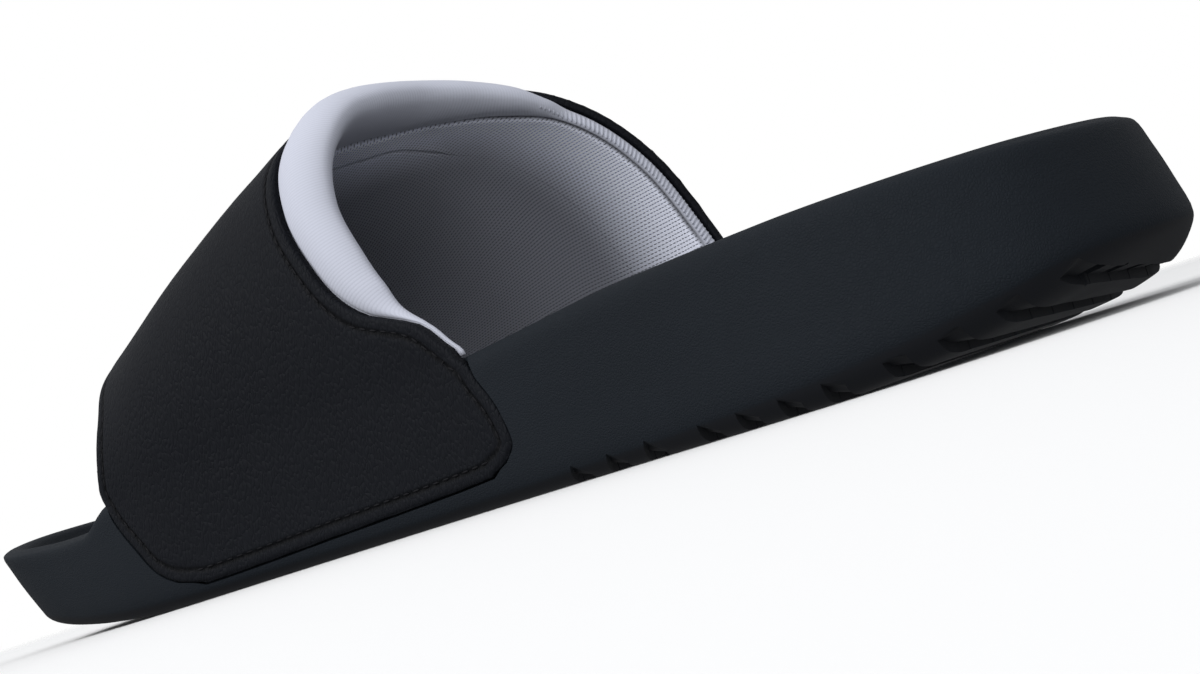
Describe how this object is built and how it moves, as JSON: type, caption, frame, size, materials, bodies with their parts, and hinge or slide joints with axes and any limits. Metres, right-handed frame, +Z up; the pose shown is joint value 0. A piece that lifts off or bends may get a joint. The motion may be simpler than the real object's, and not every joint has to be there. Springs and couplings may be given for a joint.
{
  "type": "slide sandal",
  "caption": "Black slide sandal for the right foot: one moulded foam sole with lugged tread and a wide padded strap with a white rolled collar.",
  "frame": {"origin": "bottom centre of the sandal's bounding box, on the floor", "axes": "+Y along the sole towards the toe, +Z up, -X towards the inner side of the right foot"},
  "size_m": [0.1052, 0.2908, 0.0862],
  "materials": {
    "sole_foam": "matte moulded foam with a fine even texture",
    "strap_leather": "grained synthetic leather, low sheen",
    "lining_knit": "padded fine knit"
  },
  "bodies": {
    "root": {"sole": "sole_foam", "strap_shell": "strap_leather", "strap_lining": "lining_knit"}
  },
  "joints": []
}
